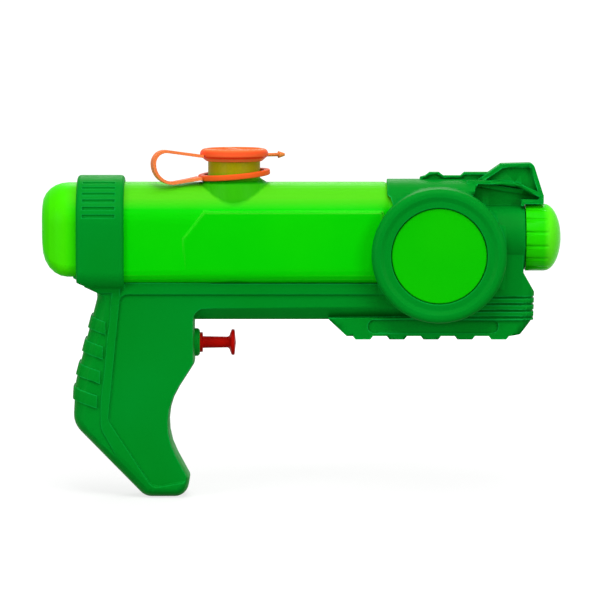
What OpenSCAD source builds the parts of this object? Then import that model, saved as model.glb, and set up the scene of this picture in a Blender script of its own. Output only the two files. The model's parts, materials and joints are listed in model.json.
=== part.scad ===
// Toy water squirter: two moulded shell halves hold a blow-moulded tank, a plunger pump and a nozzle cap.
// Millimetres. +X points to the nozzle, +Z up, +Y to the left side. The origin is the middle of the grip.

/* [Tank] */
// Full width of the tank
tank_w = 40; // [37:0.5:43]
// Height of the tank between the shells
tank_h = 49.6; // [48:0.2:53]
// Height of the tank's underside above the origin
tank_low = 54.7; // [53.7:0.2:56.1]
// Rear end of the tank
tank_rear = -42.4; // [-48:0.2:-39]
// Front end of the tank
tank_front = 165; // [156:0.5:166]
// Wall of the tank
tank_wall = 1.6; // [1.2:0.1:2.2]
// Rounding of the tank's lower long edges
tank_low_r = 6.5; // [4:0.5:9]
// How much smaller the tank is on each side where the shells hold it at the front
tank_step = 1.1; // [0.8:0.1:1.6]
// How far the tank's underside rises at its rear end
tank_rise = 3; // [2:0.2:4]
// Rounding of the tank's two ends
tank_end_r = 13; // [10:0.5:14]
// How far the panel's upper edge stands out from the tank's sides
panel_up = 1.2; // [0.6:0.1:1.6]
// Outside diameter of the nipple under the tank
nipple_d = 6; // [5:0.2:7]
// Bore of the nipple
nipple_bore = 3.4; // [2.4:0.2:4]

/* [Filler neck] */
// Neck's place along X
neck_x = 53.15; // [46:0.5:60]
// Outside diameter of the neck
neck_d = 26; // [24:0.5:28]
// Bore of the neck
neck_bore = 22; // [20:0.5:23]
// Height of the neck above the tank
neck_h = 12.7; // [12:0.1:14]
// Diameter of the round base under the neck
neck_base_d = 34; // [31:0.5:36]
// Height of the flare between base and neck
flare_h = 2.6; // [1.6:0.2:3.6]

/* [Cap, strap and ring] */
// Outside diameter of the cap
cap_d = 34; // [32:0.5:37]
// Height of the cap from its lip to its rim
cap_h = 6.2; // [5.8:0.1:6.8]
// Thickness of the cap's top plate
cap_plate = 2.8; // [2.4:0.1:3.2]
// Depth of the plug under the plate
plug_h = 7.5; // [5:0.5:8]
// How much narrower the plug is at its lower end, on each side
plug_taper = 0.9; // [0.8:0.1:1.4]
// Wall of the plug
plug_wall = 1.6; // [1.2:0.1:2.2]
// Depth of the pockets in the cap's top
pocket_deep = 0.8; // [0.5:0.1:1.2]
// Width of the rim round the pockets
rim_w = 3.4; // [2.5:0.1:4.5]
// Width of the rib between the pockets
cap_rib = 2.4; // [1.6:0.1:3.2]
// Length of the pull tab
tab_len = 9.4; // [7:0.2:11]
// Width of the strap
strap_w = 5; // [4:0.2:6]
// Thickness of the strap
strap_t = 1.5; // [1.2:0.1:2]
// How far the strap's loop reaches from the neck's axis
strap_reach = 41.9; // [39.5:0.1:44]
// Turn of cap, strap and ring about the neck
strap_turn = 18; // [16:1:22]
// Outside diameter of the strap's ring
ring_d = 36; // [35:0.2:37]
// Bore of the strap's ring
ring_bore = 29.6; // [29:0.2:30.2]
// Thickness of the strap's ring
ring_t = 2.7; // [2:0.1:3]
// Lean of the strap's ring, low on the strap's side
ring_lean = 5; // [3:0.5:5.5]

/* [Shells] */
// Wall of the shells
wall = 2.1; // [1.8:0.1:2.4]
// Wall of the collar
collar_wall = 3.2; // [2.7:0.1:3.8]
// Rear edge of the collar
collar_rear = -24.9; // [-27:0.1:-23]
// Front edge of the collar
collar_front = -1.3; // [-2.5:0.1:1]
// Rounding of the collar's edges
collar_edge = 2; // [1:0.1:2.6]
// Space left between tank and shells
tank_gap = 0.15; // [0.1:0.05:0.5]
// Half thickness of the grip at its rim strip and of the rail at its lip
grip_half = 15.4; // [14.8:0.1:16]
// Depth of the side panel in grip and rail
panel_deep = 1.4; // [1:0.1:1.8]
// Rounding of the rim round the side panel
panel_rim = 0.8; // [0.4:0.1:1]
// Step from the rim strip back to the rear of the grip
strip_step = 0.7; // [0.3:0.1:1]
// Rounding of the grip's rear edges
grip_edge = 9; // [6:0.5:10]
// How far the four rear ribs stand out
pad_up = 0.9; // [0.5:0.1:1.4]
// Height of a rear rib
pad_h = 6.4; // [5:0.2:8]
// Step from one rear rib to the next
pad_pitch = 12.3; // [11:0.1:13.5]
// Height of the rail's upper lip
lip_h = 5.7; // [4.7:0.1:6.7]
// Height of the whole rail
rail_h = 18.4; // [17.2:0.1:19.2]
// Half width of the rail's underside
rail_low_half = 8; // [7:0.1:9]
// Radius of the groove cutters on collar and chin
groove_r = 0.9; // [0.6:0.05:1.1]

/* [Front housing] */
// Drum's centre along X
drum_x = 154.8; // [152:0.2:158]
// Drum's centre above the origin
drum_z = 69; // [68:0.2:70]
// Outside diameter of the drum's ring
drum_d = 66.8; // [65:0.2:69]
// Half width over the ring's crest
drum_half = 29; // [28:0.2:30]
// Rounding of the ring's outer edge
ring_edge = 2.9; // [2:0.1:3.4]
// How far the ring's face falls from its crest towards the disc
ring_dish = 0.9; // [0.5:0.1:1.2]
// How far the disc lies below the ring's crest
disc_deep = 2.1; // [1.8:0.1:3]
// Diameter of the discs
disc_d = 47; // [46:0.2:49]
// Thickness of the discs
disc_t = 2; // [1.6:0.1:2.4]
// Space between disc and ring
disc_gap = 0.35; // [0.2:0.05:0.5]
// Wall of the arch over the tank's front end
arch_wall = 2.4; // [2:0.1:2.8]
// Rear edge of the arch
arch_rear = 129.3; // [127:0.2:132]
// Front edge of the arch
arch_front = 174.8; // [173:0.2:176]
// Half width of the keel
keel_half = 13; // [12:0.2:14]
// Height of the keel's underside
keel_low = 28.1; // [27.3:0.2:28.9]
// Height of a keel tooth
tooth_h = 1.7; // [1:0.1:2.2]
// Length of a keel tooth at its root
tooth_len = 10; // [8:0.2:12]
// Step from tooth to tooth
tooth_pitch = 16.9; // [16:0.1:17.5]
// Half width of the chin
chin_half = 14.4; // [13.6:0.1:15.2]
// Front edge of the chin
chin_front = 202.6; // [200:0.2:205]
// Half width of the hood over the barrel
hood_half = 9; // [8:0.2:10]
// Half width of the sight's rim
sight_half = 4.6; // [4:0.1:5.4]
// Half width of the web inside hood and sight
web_half = 2; // [1.5:0.1:2.6]
// Rim left round hood and sight
web_rim = 1.8; // [1.4:0.1:2.4]

/* [Nozzle] */
// Height of the barrel's axis
nozzle_z = 76.5; // [75.5:0.5:77.5]
// Outside diameter of the barrel
barrel_d = 32.8; // [31.5:0.1:33.2]
// Front edge of the barrel
barrel_front = 198; // [196:0.5:200]
// Outside diameter of the nozzle cap
cap_nose_d = 33.4; // [31.5:0.1:33.8]
// Length of the nozzle cap
nose_len = 17.8; // [16:0.2:19]
// Height of the nozzle cap's domed front
nose_dome = 8.4; // [6:0.1:9]
// Length of the grip grooves on the nozzle cap
nose_groove = 11.6; // [9:0.2:13]
// Wall of the nozzle cap
nose_wall = 2; // [1.6:0.1:2.4]
// Outside diameter of the nozzle tube
tube_d = 12; // [11:0.2:13]
// Running clearance of the nozzle cap on its tube, on the radius
turn_fit = 0.06; // [0.03:0.01:0.1]
// Diameter of the jet hole
jet_d = 1.4; // [1:0.1:1.8]

/* [Pump] */
// Height of the plunger's axis
pump_z = 23.9; // [23:0.1:25]
// Bore of the pump cylinder
pump_bore = 12; // [11:0.2:12.6]
// Wall of the pump cylinder
pump_wall = 2.4; // [2:0.1:2.6]
// Inside end of the pump cylinder
pump_rear = -9; // [-10:0.5:-8]
// Stroke of the trigger
stroke = 13; // [10:0.5:13.5]
// Face of the gland
gland_front = 36; // [35:0.2:37]
// Outside diameter of the gland
gland_d = 14; // [13:0.2:15]
// Diameter of the plunger's shaft
shaft_d = 10; // [9:0.2:10.4]
// Diameter of the rod behind the trigger's head
rod_d = 6; // [5:0.2:7]
// Diameter of the trigger's head
head_d = 12.9; // [12:0.1:14]
// Front of the trigger's head
head_front = 54; // [53:0.2:55.5]
// Thickness of the trigger's head
head_t = 2.6; // [2:0.1:3.2]
// Running clearance of shaft and piston, on the radius
slide_fit = 0.08; // [0.05:0.01:0.1]
// Length of the piston
piston_len = 7.8; // [7:0.1:9]
// Wire of the return spring
wire_d = 0.9; // [0.7:0.1:1]
// Middle diameter of the return spring
coil_d = 9; // [8:0.2:9.6]
// Turns of the return spring
coil_turns = 7; // [5:1:9]

/* [Valves and hoses] */
// Diameter of the valve balls
ball_d = 5; // [4.6:0.1:5.2]
// Space round a ball in its chamber
ball_gap = 0.4; // [0.3:0.05:0.5]
// Lift of a valve ball
ball_lift = 1.2; // [0.8:0.1:1.4]
// Hole under a valve seat
seat_d = 2.8; // [2.4:0.1:3]
// Outside diameter of the delivery hose
hose_d = 5; // [4.8:0.1:5.4]
// Bore of the delivery hose
hose_bore = 3; // [2.8:0.1:3.2]
// Bend radius of the delivery hose
hose_bend = 7; // [6:0.5:8]
// Height of the delivery hose in the rail
hose_z = 44.5; // [44:0.1:45]
// Wall of the suction hose
suction_wall = 1.2; // [0.9:0.1:1.5]

/* [Screws] */
// Diameter of a screw's shank
screw_d = 2.6; // [2.2:0.1:3]
// Diameter of a screw's head
screw_head_d = 4.6; // [4:0.1:5]
// Height of a screw's head
screw_head_h = 1.8; // [1.4:0.1:2.2]
// Length of a screw's shank
screw_len = 13; // [11:0.5:14]
// Height of the screw heads' seat from the parting plane
screw_seat = 7; // [6:0.5:8]

/* [Hidden] */
$fn = 72;

// Points on a rounded corner, the least corner radius and a cut's reach past a face
arc_steps = 6;
arc_least = 0.05;
past = 1;
far = 400;

// Tank
tank_half = tank_w / 2;
tank_top = tank_low + tank_h;
arch_z = tank_top - tank_half;

// Neck and cap
neck_r = neck_d / 2;
bore_r = neck_bore / 2;
base_r = neck_base_d / 2;
base_low = arch_z + 3;
neck_top = tank_top + neck_h;
flare_low = tank_top - flare_h / 4;
lead = 0.6;
panel_sink = 0.1;
cap_r = cap_d / 2;
cap_space = 0.3;
cap_under = neck_top + cap_space;
cap_low = cap_under - (cap_h - cap_plate - pocket_deep);
cap_top = cap_low + cap_h;
skirt_r = neck_r + 0.5;
plug_r = bore_r - cap_space;
cone_r = skirt_r + 0.5;
cone_h = 2.6;
cap_edge = 2.6;
tab_up = 2.7;
tab_r = 0.9;
tab_tip = 0.7;
tab_nib = 3.2;
nib_r = 1.8;
nib_x = cap_r + tab_len - tab_nib;
ring_r = ring_d / 2;
ring_z = tank_top + 3.6;
loop_r = 6;
loop_low_r = 9.5;
strap_rise = 6.2;
strap_sag = 1.7;
strap_space = 0.15;
strap_steps = 10;

// Fits: parts the shells hold, pressed parts, sealing faces
hold_gap = 0.1;
press = 0.02;
seal_gap = 0.04;

// Shells
collar_r = tank_half + tank_gap + collar_wall;
collar_low = tank_low - tank_gap - collar_wall;
collar_low_r = tank_low_r + collar_wall;
lip_drop = 0.05;
rail_top = tank_low - tank_gap - lip_drop;
rail_low = rail_top - rail_h;
lip_low = rail_top - lip_h;
panel_half = grip_half - panel_deep;
panel_draft = 0.3;
rim_past = 0.05;
lip_proud = 0.06;
rail_half = grip_half + lip_proud;
inner_half = panel_half - wall;
rail_room = inner_half - 0.2;
pad_slope = 19;
arch_r = tank_half - tank_step + tank_gap + arch_wall;
arch_top = arch_z + arch_r;
drum_r = drum_d / 2;
disc_r = disc_d / 2;
pocket_r = disc_r + disc_gap;
disc_face = drum_half - disc_deep;
disc_seat = disc_face - disc_t;
land_w = 1.2;
crest_out = drum_r - ring_edge;
crest_in = crest_out - land_w;
ring_in = (crest_in + pocket_r) / 2 + 0.5;
peg_at = [90, 210, 330];
peg_r = 1.5;
peg_past = 0.8;
barrel_r = barrel_d / 2;
barrel_top = nozzle_z + barrel_r;
chin_groove = 37.5;
chin_rear = 165;
chin_top_front = barrel_front - 1;
chin_bite = 0.4;
chin_top = nozzle_z - sqrt(barrel_r * barrel_r - chin_half * chin_half) + chin_bite;
chin_pitch = 3.3;
groove_w = 1.1;
slot_deep = 1;
tooth_first = 117.3;
keel_rear = tooth_first - 8.1;
keel_toe = chin_front - 12.1;
keel_nose = chin_front - 7.2;
keel_room = nozzle_z - 19.5;
ridge_half = 2.2;
ridge_rim = 1.2;
keel_top = rail_low + 1.2;
keel_open = arch_front - 4;
hood_rear = arch_front - 5.8;
saddle_at = [12, 23];
saddle_t = 1.8;
saddle_h = 4;
seat_w = 1.5;

// Nozzle
nose_rear = barrel_front + 0.3;
nose_front = nose_rear + nose_len;
nose_out_r = cap_nose_d / 2;
nose_grooves = 15;
nose_phase = 6.3;
nose_groove_r = 0.65;
dome_steps = 9;
mouth_r = 2.2;
tube_r = tube_d / 2;
hub_r = tube_r + 2;
hub_deep = nose_len - nose_dome + 3;
flange_front = barrel_front - 4.4;
flange_r = barrel_r - wall;
flange_back = 1.4;
seat_x = flange_front - 1.2;
spigot_x = seat_x - 8;
tip_r = tube_r - 1.2;
tip_t = 1.4;
tube_front = nose_front - nose_wall - tip_t - 1.6;
tip_rear = tube_front - 3;
seal_x = nose_rear + 3;
bead_x = nose_rear + 7;
bead_w = 1;
bead_up = 0.4;
ball_r = ball_d / 2;
chamber_r = ball_r + ball_gap;
seat_r = seat_d / 2;
seat_drop = sqrt(ball_r * ball_r - seat_r * seat_r);
outlet_x = seat_x + seat_drop + seal_gap;
spigot_r = hose_bore / 2;

// Pump
bore_half = pump_bore / 2;
pump_r = bore_half + pump_wall;
pump_front = 28.9;
pump_end = 2.5;
gland_r = gland_d / 2;
gland_step = 1.9;
gland_back = pump_front + press;
gland_flange = 1.6;
shaft_r = shaft_d / 2;
rod_r = rod_d / 2;
head_r = head_d / 2;
guide_r = coil_d / 2 - wire_d / 2 - 1;
guide_len = 4;
spigot_len = 2.6;
piston_r = bore_half - slide_fit;
piston_front = pump_front - spigot_len - 0.3;
piston_rear = piston_front - piston_len;
seal_at = piston_rear + piston_len / 2;
seal_w = 2;
seal_deep = 1.2;
spring_rings = 8;
inlet_x = pump_rear + 4.5;
outlet_port_x = inlet_x + 7.6;
tower_r = chamber_r + 1.7;
fitting_r = chamber_r + 0.7;
chamber_low = pump_z + bore_half + 1.8;
inlet_z = chamber_low + ball_r + seal_gap;
inlet_seat = inlet_z + ball_lift + seat_drop + seal_gap;
tower_top = inlet_seat + 2.6;
fitting_top = tower_top + 1.4;
nipple_r = nipple_d / 2;
suction_r = nipple_r + suction_wall;
nipple_low = tank_low - 5.2;

// Screws stand at these places, X and Z
screw_at = [[19, -41], [-11, -15], [15, 1], [-13, 37.4], [113.5, rail_low - 2.6], [190, rail_low - 2.2],
    [193, 54]];
screw_r = screw_d / 2;
screw_hole = screw_r + 0.25;
screw_head_r = screw_head_d / 2;
boss_r = screw_head_r + 1.4;

// Plain plane geometry: unit vector, left normal, meeting point of two lines
function flat(c) = [c[0], c[1]];
function unit(v) = v / norm(v);
function left_of(v) = [-v[1], v[0]];
function meet(p, u, q, v) = p + u * cross(q - p, v) / cross(u, v);

// A corner is [x, y, radius, share]: share is how much of the edge rounding its next edge takes
function share(c) = len(c) > 3 ? c[3] : 1;
function before(c, i) = c[(i + len(c) - 1) % len(c)];
function after(c, i) = c[(i + 1) % len(c)];

// The corner i after its two edges move inward by depth, and by their shares of round
function moved(c, i, depth, round) =
    let (u = unit(flat(c[i]) - flat(before(c, i))), v = unit(flat(after(c, i)) - flat(c[i])))
    meet(flat(c[i]) + left_of(u) * (depth + round * share(before(c, i))), u,
        flat(c[i]) + left_of(v) * (depth + round * share(c[i])), v);

// The arc that rounds corner i; a corner of radius 0 stays one point
function corner_arc(c, i, depth, round, steps) =
    let (n = len(c), p = moved(c, i, depth, round))
    c[i][2] == 0 ? [p] :
    let (u = unit(p - moved(c, (i + n - 1) % n, depth, round)))
    let (v = unit(moved(c, (i + 1) % n, depth, round) - p))
    let (turn = atan2(cross(u, v), u * v), taken = depth + round * (share(before(c, i)) + share(c[i])) / 2)
    let (r = max(arc_least, c[i][2] - sign(turn) * taken))
    let (start = p - u * r * tan(abs(turn) / 2))
    let (centre = start + left_of(u) * r * sign(turn), w = start - centre)
    [for (k = [0 : steps]) let (a = turn * k / steps)
        centre + [w[0] * cos(a) - w[1] * sin(a), w[0] * sin(a) + w[1] * cos(a)]];

// Anticlockwise corners to a rounded outline
function outline(c, depth = 0, round = 0, steps = arc_steps) =
    [for (i = [0 : len(c) - 1]) each corner_arc(c, i, depth, round, steps)];

// Triangles that fill an outline, cut off corner by corner
function within(p, a, b, c) = cross(b - a, p - a) > 0 && cross(c - b, p - b) > 0 && cross(a - c, p - c) > 0;
function is_ear(pts, left, k) =
    let (a = pts[before(left, k)], b = pts[left[k]], c = pts[after(left, k)])
    cross(b - a, c - b) > 0 && len([for (j = left) if (within(pts[j], a, b, c)) j]) == 0;
function first_ear(pts, left, k = 0) =
    k >= len(left) || is_ear(pts, left, k) ? k : first_ear(pts, left, k + 1);
function filled(pts, left) =
    len(left) < 4 ? [left] :
    let (k = first_ear(pts, left) % len(left))
    concat([[before(left, k), left[k], after(left, k)]],
        filled(pts, [for (i = [0 : len(left) - 1]) if (i != k) left[i]]));

// A closed skin through rings of points; ends holds the flat points of the first and last ring
module skin(rings, ends) {
    n = len(rings[0]);
    last = (len(rings) - 1) * n;
    order = [for (i = [0 : n - 1]) i];
    sides = [for (k = [0 : len(rings) - 2], i = order)
        let (a = k * n + i, b = k * n + (i + 1) % n)
        each [[a, a + n, b], [b, a + n, b + n]]];
    start = [for (t = filled(ends[0], order)) t];
    finish = [for (t = filled(ends[1], order)) [t[2] + last, t[1] + last, t[0] + last]];
    polyhedron(points = [for (r = rings) each r], faces = concat(start, sides, finish));
}

// Shapes turned into place: across the part, along it, and turned about X or Y
module across(width) rotate([90, 0, 0]) linear_extrude(width, center = true) children();
module along(from, to) translate([from, 0, 0]) rotate([90, 0, 90]) linear_extrude(to - from) children();
module about_x(z) translate([0, 0, z]) rotate([0, 90, 0]) rotate_extrude() children();
module rod_x(from, to, r, z) translate([from, 0, z]) rotate([0, 90, 0]) cylinder(h = to - from, r = r);
module rod_z(x, from, to, r) translate([x, 0, from]) cylinder(h = to - from, r = r);
module both_sides() {
    children();
    mirror([0, 1, 0]) children();
}

// The tank's section: an arch over straight sides with rounded lower edges
function arch_section(half, top, low, low_r) =
    concat([for (a = [0 : 7.5 : 180]) [half * cos(a), top - half + half * sin(a)]],
        [for (a = [180 : 22.5 : 270]) [low_r - half + low_r * cos(a), low + low_r + low_r * sin(a)]],
        [for (a = [270 : 22.5 : 360]) [half - low_r + low_r * cos(a), low + low_r + low_r * sin(a)]]);

// The tank's stations along X: place, inset of top and sides, rise of the underside
rear_in = 0.3;
waist_in = tank_step + 0.5;
waist_rear = collar_rear + 5;
waist_front = waist_rear + 11;
waist_slope = 3;
step_from = arch_rear - 1.6;
step_to = arch_rear + 1.2;
top_share = 0.85;
low_share = 1.15;
function tank_stations(depth) =
    let (r = tank_end_r - depth, start = tank_rear + depth, finish = tank_front - depth)
    concat(
        [for (a = [0 : 15 : 90]) let (d = r * (1 - sin(a)))
            [start + r * (1 - cos(a)), rear_in + top_share * d, tank_rise + low_share * d]],
        [[waist_rear, rear_in, tank_rise], [waist_rear + waist_slope, waist_in, tank_rise],
            [waist_front - waist_slope, waist_in, tank_rise], [waist_front, 0, 0], [step_from, 0, 0],
            [step_to, tank_step, tank_step]],
        [for (a = [90 : -15 : 0]) let (d = r * (1 - sin(a)))
            [finish - r * (1 - cos(a)), tank_step + d, tank_step + d]]);
function tank_section(station, depth) =
    let (half = tank_half - station[1] - depth)
    arch_section(half, tank_top - station[1] - depth, tank_low + station[2] + depth,
        min(tank_low_r - depth / 2, half - past));

// The tank's body, shrunk on every side by depth
module tank_body(depth) {
    sections = [for (s = tank_stations(depth)) tank_section(s, depth)];
    stations = tank_stations(depth);
    skin([for (k = [0 : len(stations) - 1]) [for (p = sections[k]) [stations[k][0], p[0], p[1]]]],
        [sections[0], sections[len(sections) - 1]]);
}

// The raised panel on both of the tank's sides: a sloped edge all round, dying out towards the rail
panel_top = arch_z + 6.4;
panel_low = arch_z - 22.9;
panel_fade = arch_z - 27;
panel_rear = 27.6;
panel_end = step_from - 0.6;
panel_edge = 0.8;
panel_base = 2.4;
tank_panel_corners = [[panel_rear + 1, panel_low, 0], [panel_end, panel_low, 0], [panel_end, panel_top, 0],
    [panel_rear + 10.6, panel_top, 0], [panel_rear, arch_z - 7, 0], [panel_rear, arch_z - 10.5, 0]];
function panel_face(z) = panel_up * (z - panel_fade) / (panel_top - panel_fade);
module tank_panel(grow) {
    base = outline(tank_panel_corners, -grow);
    face = outline(tank_panel_corners, panel_edge - grow);
    both_sides() skin([[for (q = face) [q[0], tank_half - panel_sink + grow + panel_face(q[1]), q[1]]],
        [for (q = base) [q[0], tank_half - panel_sink + grow + panel_face(q[1]) / 4, q[1]]],
        [for (q = base) [q[0], tank_half - panel_base, q[1]]]],
        [face, base]);
}

// Blow-moulded water tank with filler neck and outlet nipple
module tank() color([0.15, 0.85, 0.05]) difference() {
    union() {
        tank_body(0);
        tank_panel(0);
        rod_z(neck_x, base_low, flare_low, base_r);
        translate([neck_x, 0, flare_low]) cylinder(h = flare_h, r1 = base_r, r2 = neck_r);
        rod_z(neck_x, flare_low, neck_top, neck_r);
        rod_z(inlet_x, nipple_low, tank_low + tank_wall / 2, nipple_r);
    }
    tank_body(tank_wall);
    rod_z(neck_x, base_low, flare_low - tank_wall, base_r - tank_wall);
    rod_z(neck_x, arch_z, neck_top + past, bore_r);
    translate([neck_x, 0, neck_top - lead]) cylinder(h = lead * 2, r1 = bore_r, r2 = bore_r + lead * 2);
    rod_z(inlet_x, nipple_low - past, tank_low + tank_wall * 2, nipple_bore / 2);
}

// Cap, strap and ring stand turned about the neck's axis; their own X runs from the loop to the pull tab
module at_neck() translate([neck_x, 0, 0]) rotate([0, 0, strap_turn]) children();

// Orange plug cap with a dished skirt over the neck, two pockets in its top and a pull tab
module filler_cap() color([1, 0.35, 0.1]) at_neck() {
    difference() {
        union() {
            rotate_extrude() polygon(outline([[0, cap_low, 0], [cone_r, cap_low, 0.2],
                [cap_r, cap_low + cone_h, 0.5], [cap_r, cap_top, cap_edge], [0, cap_top, 0]]));
            rod_x(0, nib_x, tab_r, cap_low + tab_up);
            translate([nib_x, 0, cap_low + tab_up]) rotate([0, 90, 0])
                cylinder(h = tab_nib, r1 = nib_r, r2 = tab_tip);
        }
        rod_z(0, cap_low - past, cap_under, skirt_r);
        difference() {
            rod_z(0, cap_top - pocket_deep, cap_top + past, cap_r - rim_w);
            translate([-cap_rib / 2, -cap_r, cap_under]) cube([cap_rib, cap_d, cap_h]);
        }
    }
    difference() {
        translate([0, 0, cap_under - plug_h])
            cylinder(h = plug_h + past, r1 = plug_r - plug_taper, r2 = plug_r);
        translate([0, 0, cap_under - plug_h - past])
            cylinder(h = plug_h + past, r1 = plug_r - plug_taper - plug_wall, r2 = plug_r - plug_wall);
    }
}

// The strap's middle line from the cap round the loop to the ring
strap_corners = [[-cap_r - strap_space, cap_low + cone_h], [-strap_reach, cap_low + strap_rise, loop_r],
    [-strap_reach, tank_top - strap_sag, loop_low_r],
    [-ring_r * cos(ring_lean) - seal_gap, ring_z - ring_r * sin(ring_lean)]];
strap_line = concat([flat(strap_corners[0])], corner_arc(strap_corners, 1, 0, 0, strap_steps),
    corner_arc(strap_corners, 2, 0, 0, strap_steps), [flat(strap_corners[3])]);
function beside(line, d) = [for (i = [0 : len(line) - 1])
    let (t = unit(line[min(i + 1, len(line) - 1)] - line[max(i - 1, 0)])) line[i] + left_of(t) * d];
function reversed(list) = [for (i = [len(list) - 1 : -1 : 0]) list[i]];

// Orange strap: a flat band that loops back from the cap to the ring
module cap_strap() color([1, 0.35, 0.1]) at_neck()
    across(strap_w)
        polygon(concat(beside(strap_line, strap_t / 2), reversed(beside(strap_line, -strap_t / 2))));

// Orange ring that lies loosely round the neck
module strap_ring() color([1, 0.35, 0.1]) at_neck() translate([0, 0, ring_z]) rotate([0, -ring_lean, 0])
    rotate_extrude() polygon(outline([
        for (p = [[ring_bore / 2, -1], [ring_r, -1], [ring_r, 1], [ring_bore / 2, 1]])
            [p[0], p[1] * ring_t / 2, ring_t / 4]]));

// Corners of the grip seen from the right side
grip_corners = [
    [-27.2, -16.3, 12, 0.7], [8.5, -52.8, 8, 0.5], [29.5, -52.8, 7, 0.4], [30.9, -43.4, 2, 0.2],
    [15.3, -14.3, 34, 0.2], [33.5, 14.2, 3, 0.2], [33.4, rail_low + 5.6, 5.5, 0.05],
    [42, rail_low + 5.6, 0.5, 0.02], [42, tank_low + 1.5, 0.5, 0.02], [-23, tank_low + 6, 0.5, 0.05],
    [-28, tank_low + 2.3, 1, 0.15], [-14, tank_low - 3.8, 6, 1], [-26.2, 4.2, 40, 1]];

// The grip's body with rounded edges, shrunk on every side by depth
module grip_form(depth, half, edge) {
    levels = concat([for (a = [90 : -18 : 0]) [half - edge + edge * sin(a), edge * (1 - cos(a))]],
        [for (a = [0 : 18 : 90]) [edge - half - edge * sin(a), edge * (1 - cos(a))]]);
    ends = outline(grip_corners, depth, edge);
    skin([for (l = levels) [for (p = outline(grip_corners, depth, l[1])) [p[0], l[0], p[1]]]],
        [ends, ends]);
}

// A cut on both sides, from a distance from the parting plane outward
module side_cut(from) both_sides() translate([0, from + far / 2, 0]) across(far) children();

// A field sunk into a face on both sides, with a rounded rim and slightly sloping walls
module sunk(corners, face, deep, rim) both_sides() {
    rounds = [for (a = [90 : -30 : 0]) [face + rim_past - rim + rim * sin(a), rim * (cos(a) - 1)]];
    levels = concat([[far, -rim]], rounds, [[face - deep, panel_draft]]);
    skin([for (l = levels) [for (p = outline(corners, l[1])) [p[0], l[0], p[1]]]],
        [outline(corners, -rim), outline(corners, panel_draft)]);
}

// The band round the tank: an arch, straight legs, rounded lower corners and a floor
module band(r, low, low_r, from, to, edge) {
    face = [[0, from, 0], [r, from, edge], [r, to, edge], [0, to, 0]];
    low_face = [[0, from, 0], [low_r, from, edge], [low_r, to, edge], [0, to, 0]];
    translate([0, 0, arch_z]) rotate([0, 90, 0]) rotate([0, 0, 90])
        rotate_extrude(angle = 180) polygon(outline(face));
    translate([0, 0, low + low_r]) linear_extrude(arch_z - low - low_r)
        polygon(outline([[from, -r, edge], [to, -r, edge], [to, r, edge], [from, r, edge]]));
    for (s = [[1, 0], [-1, 270]])
        translate([0, s[0] * (r - low_r), low + low_r]) rotate([0, 90, 0]) rotate([0, 0, s[1]])
            rotate_extrude(angle = 90) polygon(outline(low_face));
    across((r - low_r) * 2) polygon(outline([[from, low, edge], [to, low, edge], [to, low + low_r, 0],
        [from, low + low_r, 0]]));
}

// The collar's lower rear corner is cut back towards the grip, and its sides flow into the grip below
collar_tip = [collar_rear - 4, tank_low + 2.4];
collar_heel = [collar_rear + 9, collar_low];
flare_low_z = collar_low - 5;
flare_share = 0.3;
flare_back = [[collar_rear + 3.9, collar_low + 1.7], [collar_rear + 8, collar_low - 0.4],
    [collar_rear + 13, collar_low - 2.8], [collar_rear + 17.5, flare_low_z],
    [collar_front, flare_low_z], [collar_front, arch_z], [collar_rear + 3.9, arch_z]];
module collar_cut() across(far) polygon([collar_tip, [collar_tip[0], collar_low - past],
    [collar_heel[0], collar_low - past], collar_heel]);
module collar_flare() intersection() {
    across(far) polygon(flare_back);
    both_sides() along(collar_rear, collar_front - collar_edge) polygon(concat(
        [[0, flare_low_z], [grip_half, flare_low_z]],
        [for (a = [0 : 12 : 60]) let (reach = collar_r - collar_low_r * flare_share - grip_half,
            rise = collar_low + collar_low_r * flare_share - flare_low_z)
            [grip_half + reach * (1 - cos(a)) / (1 - cos(60)), flare_low_z + rise * sin(a) / sin(60)]],
        [[0, collar_low + collar_low_r]]));
}

// Six grooves along each side of the collar
groove_first = 30.6;
groove_turn = 9.83;
groove_behind = 3.1;
groove_ahead = 4.4;
groove_out = 0.15;
module collar_grooves() both_sides() for (k = [0 : 5]) translate([0, 0, arch_z])
    rotate([groove_first + k * groove_turn, 0, 0])
        rod_x(collar_rear + groove_behind, collar_front - groove_ahead, groove_r, collar_r + groove_out);

// Corners of the sunk side panel, and of the rear field behind the rim strip
panel_corners = [[-9.4, -13.8, 5], [12.6, -47.6, 5], [40, -42.8, 0], [drum_x, -42.8, 0],
    [drum_x, lip_low, 0],
    [-3.2, lip_low, 4]];
strip_rim = strip_step * 0.8;
strip_corners = [[-60, -60, 0], [-4, -60, 0], [-4, -34.8, 6], [-13.5, -17.8, 12], [-13.3, -4, 0],
    [-11.2, 13.2, 0], [-10.2, 25.7, 0], [-8.5, 38.2, 0], [-8, 49.2, 0], [-60, 49.2, 0]];

// Collar, grip and rail with the sunk side panel, the rim strip and the rear ribs
module rear_form() {
    difference() {
        union() {
            grip_form(0, grip_half, grip_edge);
            difference() {
                band(collar_r, collar_low, collar_low_r, collar_rear, collar_front, collar_edge);
                collar_grooves();
                collar_cut();
            }
            collar_flare();
            along(-8, drum_x + 20) polygon([[-rail_low_half, rail_low], [rail_low_half, rail_low],
                [rail_half, rail_low + rail_half - rail_low_half], [rail_half, rail_top],
                [-rail_half, rail_top], [-rail_half, rail_low + rail_half - rail_low_half]]);
        }
        sunk(panel_corners, rail_half, panel_deep + lip_proud, panel_rim);
        sunk(strip_corners, grip_half, strip_step, strip_rim);
    }
    intersection() {
        grip_form(-pad_up, grip_half - strip_step + pad_up, grip_edge);
        for (k = [0 : 3]) let (x = -10.7 - 1.4 * k, z = 35.4 - pad_pitch * k,
            up = (x + 40) * tan(pad_slope))
            across(far) polygon([[-40, z - pad_h + up], [x, z - pad_h], [x, z], [-40, z + up]]);
    }
}

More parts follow.
